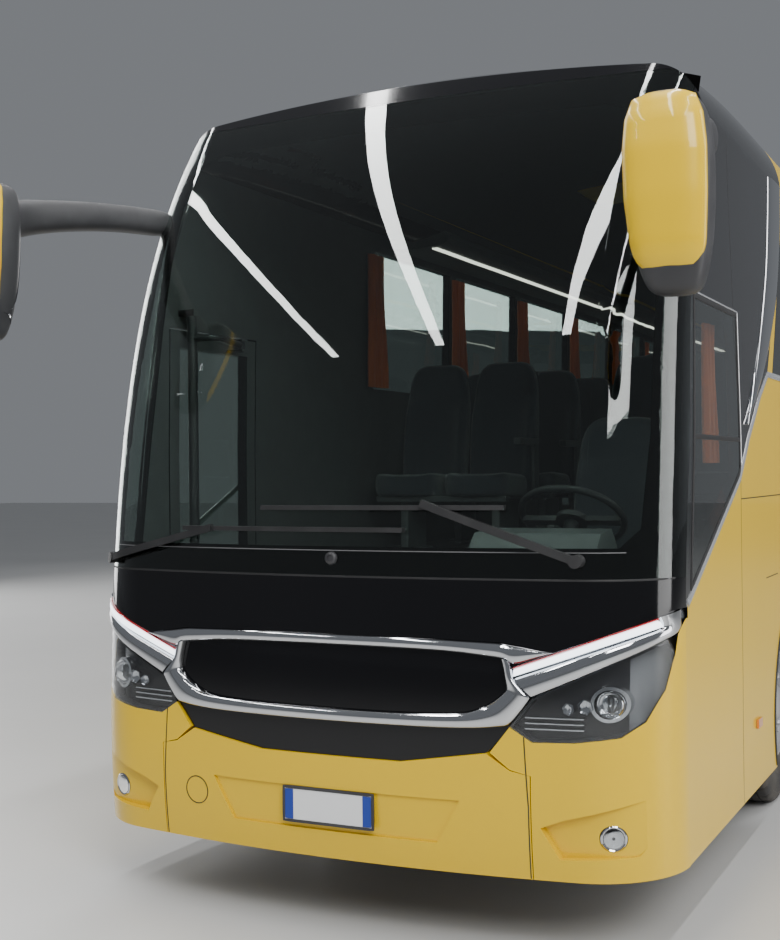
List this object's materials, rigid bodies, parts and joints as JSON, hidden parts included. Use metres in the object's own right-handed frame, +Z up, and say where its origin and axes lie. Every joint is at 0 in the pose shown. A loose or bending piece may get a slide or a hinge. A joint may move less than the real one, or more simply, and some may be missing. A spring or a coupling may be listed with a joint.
{
  "type": "high-deck touring coach",
  "caption": "Two-axle high-deck touring coach with steered front wheels, twin drive wheels, swing-out doors, luggage flaps, engine cover and roof hatches.",
  "frame": {"origin": "on the ground, in the middle of the coach's length with its mirrors and of its width", "axes": "+Z up, the coach faces -Y, +X is the coach's left side"},
  "size_m": [3.1228, 12.7156, 3.7698],
  "materials": {
    "body_paint": "gloss yellow paint",
    "gloss_black": "high-gloss black",
    "tinted_glass": "grey-green tinted, gloss",
    "chrome_trim": "polished",
    "lamp_clear": "clear lens, gloss",
    "lamp_white": "clear white light guide",
    "lamp_amber": "gloss",
    "lamp_red": "gloss",
    "dark_plastic": "satin, fine grain",
    "grey_plastic": "fine grain",
    "floor_vinyl": "speckled vinyl",
    "hold_lining": "chequer sheet",
    "frame_steel": "satin black paint",
    "engine_iron": "painted casting",
    "seat_fabric": "woven plush",
    "tyre_rubber": "matt",
    "rim_steel": "silver paint",
    "plate_white": "satin white",
    "wiper_black": "matt"
  },
  "bodies": {
    "coach": {"side_wall_left": "body_paint", "side_wall_right": "body_paint", "cab_sides": "gloss_black", "roof": "body_paint", "roof_cap": "gloss_black", "windscreen": "tinted_glass", "side_glass": "tinted_glass", "driver_window": "tinted_glass", "rear_window": "tinted_glass", "front_flap": "gloss_black", "grille_panel": "gloss_black", "front_chrome": "chrome_trim", "headlamps": "lamp_clear", "light_strips": "lamp_white", "front_bumper": "body_paint", "small_lamps": "lamp_amber", "rear_wall": "body_paint", "rear_bumper": "body_paint", "tail_lamps": "lamp_red", "cabin_floor": "floor_vinyl", "entrance_steps": "floor_vinyl", "luggage_hold": "hold_lining", "wheel_housings": "dark_plastic", "underframe": "frame_steel", "cross_members": "frame_steel", "front_axle": "frame_steel", "drive_axle": "frame_steel", "engine": "engine_iron", "seats": "seat_fabric", "driver_seat": "seat_fabric", "dashboard": "grey_plastic", "steering_wheel": "dark_plastic", "mirrors": "dark_plastic", "mirror_caps": "body_paint", "number_plates": "plate_white", "wipers": "wiper_black"},
    "knuckle_left": {"knuckle_left": "frame_steel"},
    "knuckle_right": {"knuckle_right": "frame_steel"},
    "front_wheel_left": {"front_tyre_left": "tyre_rubber", "front_rim_left": "rim_steel"},
    "front_wheel_right": {"front_tyre_right": "tyre_rubber", "front_rim_right": "rim_steel"},
    "drive_wheels_left": {"drive_tyres_left": "tyre_rubber", "drive_rims_left": "rim_steel"},
    "drive_wheels_right": {"drive_tyres_right": "tyre_rubber", "drive_rims_right": "rim_steel"},
    "front_door_arm": {"door_front_arm": "frame_steel"},
    "front_door": {"door_front": "body_paint", "door_front_glass": "tinted_glass"},
    "middle_door_arm": {"door_middle_arm": "frame_steel"},
    "middle_door": {"door_middle": "body_paint", "door_middle_glass": "tinted_glass"},
    "flap_left_front": {"luggage_flap_left_front": "body_paint"},
    "flap_left_middle": {"luggage_flap_left_middle": "body_paint"},
    "flap_left_rear": {"luggage_flap_left_rear": "body_paint"},
    "flap_right_front": {"luggage_flap_right_front": "body_paint"},
    "flap_right_rear": {"luggage_flap_right_rear": "body_paint"},
    "engine_cover": {"engine_flap": "body_paint"},
    "hatch_front": {"roof_hatch_front": "body_paint"},
    "hatch_rear": {"roof_hatch_rear": "body_paint"}
  },
  "joints": [
    {"name": "steer_left", "type": "hinge", "parent": "coach", "child": "knuckle_left", "pos_m": [0.88, -3.0925, 0.522], "axis": [0, 0, 1], "range_deg": [-40, 40]},
    {"name": "front_wheel_left_roll", "type": "hinge", "parent": "knuckle_left", "child": "front_wheel_left", "pos_m": [1.05, -3.0925, 0.522], "axis": [1, 0, 0], "continuous": true},
    {"name": "drive_wheels_left_roll", "type": "hinge", "parent": "coach", "child": "drive_wheels_left", "pos_m": [1.08, 2.9875, 0.522], "axis": [1, 0, 0], "continuous": true},
    {"name": "steer_right", "type": "hinge", "parent": "coach", "child": "knuckle_right", "pos_m": [-0.88, -3.0925, 0.522], "axis": [0, 0, 1], "range_deg": [-40, 40]},
    {"name": "front_wheel_right_roll", "type": "hinge", "parent": "knuckle_right", "child": "front_wheel_right", "pos_m": [-1.05, -3.0925, 0.522], "axis": [1, 0, 0], "continuous": true},
    {"name": "drive_wheels_right_roll", "type": "hinge", "parent": "coach", "child": "drive_wheels_right", "pos_m": [-1.08, 2.9875, 0.522], "axis": [1, 0, 0], "continuous": true},
    {"name": "front_door_swing", "type": "hinge", "parent": "coach", "child": "front_door_arm", "pos_m": [-1.14, -5.1425, 1.4], "axis": [0, 0, 1], "range_deg": [0, 150]},
    {"name": "front_door_leaf", "type": "hinge", "parent": "front_door_arm", "child": "front_door", "pos_m": [-1.14, -4.7225, 1.4], "axis": [0, 0, 1], "range_deg": [-150, 0]},
    {"name": "middle_door_swing", "type": "hinge", "parent": "coach", "child": "middle_door_arm", "pos_m": [-1.14, 0.5075, 1.4], "axis": [0, 0, 1], "range_deg": [0, 150]},
    {"name": "middle_door_leaf", "type": "hinge", "parent": "middle_door_arm", "child": "middle_door", "pos_m": [-1.14, 0.9275, 1.4], "axis": [0, 0, 1], "range_deg": [-150, 0]},
    {"name": "flap_left_front_lift", "type": "hinge", "parent": "coach", "child": "flap_left_front", "pos_m": [1.277, -1.6075, 1.236], "axis": [0, -1, 0], "range_deg": [0, 85]},
    {"name": "flap_left_middle_lift", "type": "hinge", "parent": "coach", "child": "flap_left_middle", "pos_m": [1.277, -0.1175, 1.236], "axis": [0, -1, 0], "range_deg": [0, 85]},
    {"name": "flap_left_rear_lift", "type": "hinge", "parent": "coach", "child": "flap_left_rear", "pos_m": [1.277, 1.4325, 1.236], "axis": [0, -1, 0], "range_deg": [0, 85]},
    {"name": "flap_right_front_lift", "type": "hinge", "parent": "coach", "child": "flap_right_front", "pos_m": [-1.277, -1.4075, 1.236], "axis": [0, 1, 0], "range_deg": [0, 85]},
    {"name": "flap_right_rear_lift", "type": "hinge", "parent": "coach", "child": "flap_right_rear", "pos_m": [-1.277, 1.7625, 1.236], "axis": [0, 1, 0], "range_deg": [0, 85]},
    {"name": "engine_cover_lift", "type": "hinge", "parent": "coach", "child": "engine_cover", "pos_m": [0, 6.3605, 1.556], "axis": [1, 0, 0], "range_deg": [0, 80]},
    {"name": "hatch_front_tilt", "type": "hinge", "parent": "coach", "child": "hatch_front", "pos_m": [0, -1.6325, 3.772], "axis": [1, 0, 0], "range_deg": [0, 8]},
    {"name": "hatch_rear_tilt", "type": "hinge", "parent": "coach", "child": "hatch_rear", "pos_m": [0, 3.7675, 3.772], "axis": [1, 0, 0], "range_deg": [0, 8]}
  ],
  "couplings": [
    {"joint": "steer_right", "follows": "steer_left", "ratio": 1},
    {"joint": "front_door_leaf", "follows": "front_door_swing", "ratio": -1},
    {"joint": "middle_door_leaf", "follows": "middle_door_swing", "ratio": -1}
  ]
}
